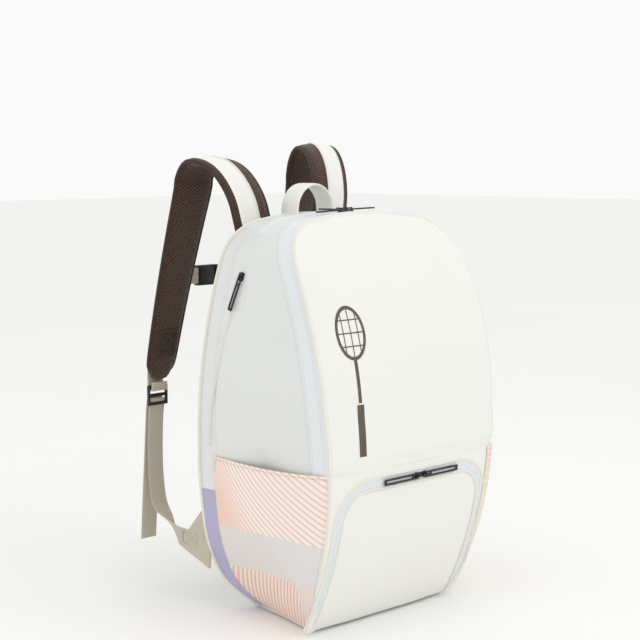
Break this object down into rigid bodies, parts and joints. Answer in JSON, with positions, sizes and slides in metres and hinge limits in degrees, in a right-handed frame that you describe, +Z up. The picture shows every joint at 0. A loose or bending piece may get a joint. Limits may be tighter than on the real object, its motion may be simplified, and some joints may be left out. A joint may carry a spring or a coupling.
{
  "type": "racket backpack",
  "caption": "Zipped backpack with a flat base, a racket slot in its top, a front pocket, two side pockets and two padded shoulder straps with a chest strap.",
  "frame": {"origin": "on the ground, in the middle of the flat base from left to right, between the front and the back panel", "axes": "+Z up; the zipped front faces -Y; the shoulder straps are on the +Y side; +X is to the right seen from the front"},
  "size_m": [0.3054, 0.3478, 0.5765],
  "materials": {
    "black_acetal": "moulded",
    "black_cord": "moulded",
    "black_slider": "painted die casting",
    "board": "plain sheet",
    "coated_cloth": "smooth coated cloth",
    "foam": "closed-cell foam",
    "lining": "plain woven lining",
    "side_cloth": "coated cloth",
    "spacer_mesh": "open mesh",
    "striped_cloth": "printed woven cloth",
    "webbing": "ribbed webbing",
    "zip_tape": "coated zip tape"
  },
  "bodies": {
    "bag": {"base_panel": "coated_cloth", "back_panel": "coated_cloth", "pocket_panel": "coated_cloth", "pocket_zip_tape": "zip_tape", "pocket_back_wall": "lining", "main_zip_tape": "zip_tape", "racket_zip_tape": "zip_tape", "top_panel": "coated_cloth", "left_side_panel": "side_cloth", "right_side_panel": "side_cloth", "left_front_binding": "side_cloth", "right_front_binding": "side_cloth", "left_rear_gusset": "side_cloth", "right_rear_gusset": "side_cloth", "left_side_pocket": "striped_cloth", "right_side_pocket": "striped_cloth", "back_foam": "foam", "back_stiffener": "board", "racket_divider": "foam", "base_board": "board", "strap_yoke": "coated_cloth", "left_lower_tab": "webbing", "right_lower_tab": "webbing", "haul_handle": "webbing"},
    "front_flap": {"front_panel": "coated_cloth"},
    "front_pocket_flap": {"pocket_flap": "coated_cloth"},
    "left_strap": {"left_strap_foam": "foam", "left_strap_mesh": "spacer_mesh", "left_strap_cover": "coated_cloth", "left_strap_stub": "webbing", "left_strap_webbing": "webbing", "chest_buckle_socket": "black_acetal", "chest_webbing_left": "webbing"},
    "right_strap": {"right_strap_foam": "foam", "right_strap_mesh": "spacer_mesh", "right_strap_cover": "coated_cloth", "right_strap_stub": "webbing", "right_strap_webbing": "webbing", "chest_webbing_right": "webbing"},
    "left_lock": {"left_ladder_lock": "black_acetal"},
    "right_lock": {"right_ladder_lock": "black_acetal"},
    "chest_clip": {"chest_buckle_clip": "black_acetal"},
    "main_left_slider": {"main_left_slider": "black_slider"},
    "main_left_pull": {"main_left_pull": "black_cord"},
    "main_right_slider": {"main_right_slider": "black_slider"},
    "main_right_pull": {"main_right_pull": "black_cord"},
    "racket_slider": {"racket_slider": "black_slider"},
    "racket_pull": {"racket_pull": "black_cord"},
    "pocket_left_slider": {"pocket_left_slider": "black_slider"},
    "pocket_left_pull": {"pocket_left_pull": "black_cord"},
    "pocket_right_slider": {"pocket_right_slider": "black_slider"},
    "pocket_right_pull": {"pocket_right_pull": "black_cord"},
    "side_slider": {"side_slider": "black_slider"},
    "side_pull": {"side_pull": "black_cord"}
  },
  "joints": [
    {"name": "front_flap_hinge", "type": "hinge", "parent": "bag", "child": "front_flap", "pos_m": [0, -0.10154, 0.2], "axis": [1, 0, 0], "range_deg": [0, 100]},
    {"name": "pocket_flap_hinge", "type": "hinge", "parent": "bag", "child": "front_pocket_flap", "pos_m": [0, -0.05713, 0.0272], "axis": [1, 0, 0], "range_deg": [0, 70]},
    {"name": "left_strap_swing", "type": "hinge", "parent": "bag", "child": "left_strap", "pos_m": [0, 0.106, 0.478], "axis": [1, 0, 0], "range_deg": [-12, 25], "stiffness_Nm_per_rad": 6, "deforming": ["left_strap_webbing"]},
    {"name": "right_strap_swing", "type": "hinge", "parent": "bag", "child": "right_strap", "pos_m": [0, 0.106, 0.478], "axis": [1, 0, 0], "range_deg": [-12, 25], "stiffness_Nm_per_rad": 6, "deforming": ["right_strap_webbing"]},
    {"name": "left_lock_tilt", "type": "hinge", "parent": "left_strap", "child": "left_lock", "pos_m": [-0.117, 0.2343, 0.267], "axis": [1, 0, 0], "range_deg": [0, 35]},
    {"name": "right_lock_tilt", "type": "hinge", "parent": "right_strap", "child": "right_lock", "pos_m": [0.117, 0.2343, 0.267], "axis": [1, 0, 0], "range_deg": [0, 35]},
    {"name": "chest_clip_release", "type": "slide", "parent": "right_strap", "child": "chest_clip", "axis": [1, 0, 0], "range_m": [0, 0.03]},
    {"name": "main_left_zip", "type": "slide", "parent": "bag", "child": "main_left_slider", "axis": [-0.9992, 0, -0.0387], "range_m": [0, 0.04]},
    {"name": "main_left_pull_hinge", "type": "hinge", "parent": "main_left_slider", "child": "main_left_pull", "pos_m": [-0.02044, -0.00184, 0.49574], "axis": [0.0017, 0.9991, -0.0428], "range_deg": [0, 110]},
    {"name": "main_right_zip", "type": "slide", "parent": "bag", "child": "main_right_slider", "axis": [0.9999, 0, 0.0147], "range_m": [0, 0.04]},
    {"name": "main_right_pull_hinge", "type": "hinge", "parent": "main_right_slider", "child": "main_right_pull", "pos_m": [-0.00775, -0.00184, 0.49608], "axis": [-0.0006, -0.9991, 0.0422], "range_deg": [0, 110]},
    {"name": "racket_zip", "type": "slide", "parent": "bag", "child": "racket_slider", "axis": [-0.9991, 0, 0.0435], "range_m": [0, 0.09]},
    {"name": "racket_pull_hinge", "type": "hinge", "parent": "racket_slider", "child": "racket_pull", "pos_m": [0.02116, 0.04216, 0.49382], "axis": [-0.0019, 0.9991, -0.043], "range_deg": [0, 160]},
    {"name": "pocket_left_zip", "type": "slide", "parent": "bag", "child": "pocket_left_slider", "axis": [-1, 0, 0], "range_m": [0, 0.07]},
    {"name": "pocket_left_pull_hinge", "type": "hinge", "parent": "pocket_left_slider", "child": "pocket_left_pull", "pos_m": [0.0017, -0.10575, 0.17973], "axis": [0, -0.0741, 0.9973], "range_deg": [0, 110]},
    {"name": "pocket_right_zip", "type": "slide", "parent": "bag", "child": "pocket_right_slider", "axis": [1, 0, 0], "range_m": [0, 0.07]},
    {"name": "pocket_right_pull_hinge", "type": "hinge", "parent": "pocket_right_slider", "child": "pocket_right_pull", "pos_m": [0.0143, -0.10575, 0.17973], "axis": [0, 0.0741, -0.9973], "range_deg": [0, 110]},
    {"name": "side_zip", "type": "slide", "parent": "bag", "child": "side_slider", "axis": [-0.1542, 0.2889, -0.9449], "range_m": [0, 0.03]},
    {"name": "side_pull_hinge", "type": "hinge", "parent": "side_slider", "child": "side_pull", "pos_m": [-0.1404, 0.05146, 0.41873], "axis": [0.173, 0.9494, 0.262], "range_deg": [0, 150]}
  ],
  "couplings": [
    {"joint": "right_strap_swing", "follows": "left_strap_swing", "ratio": 1}
  ]
}
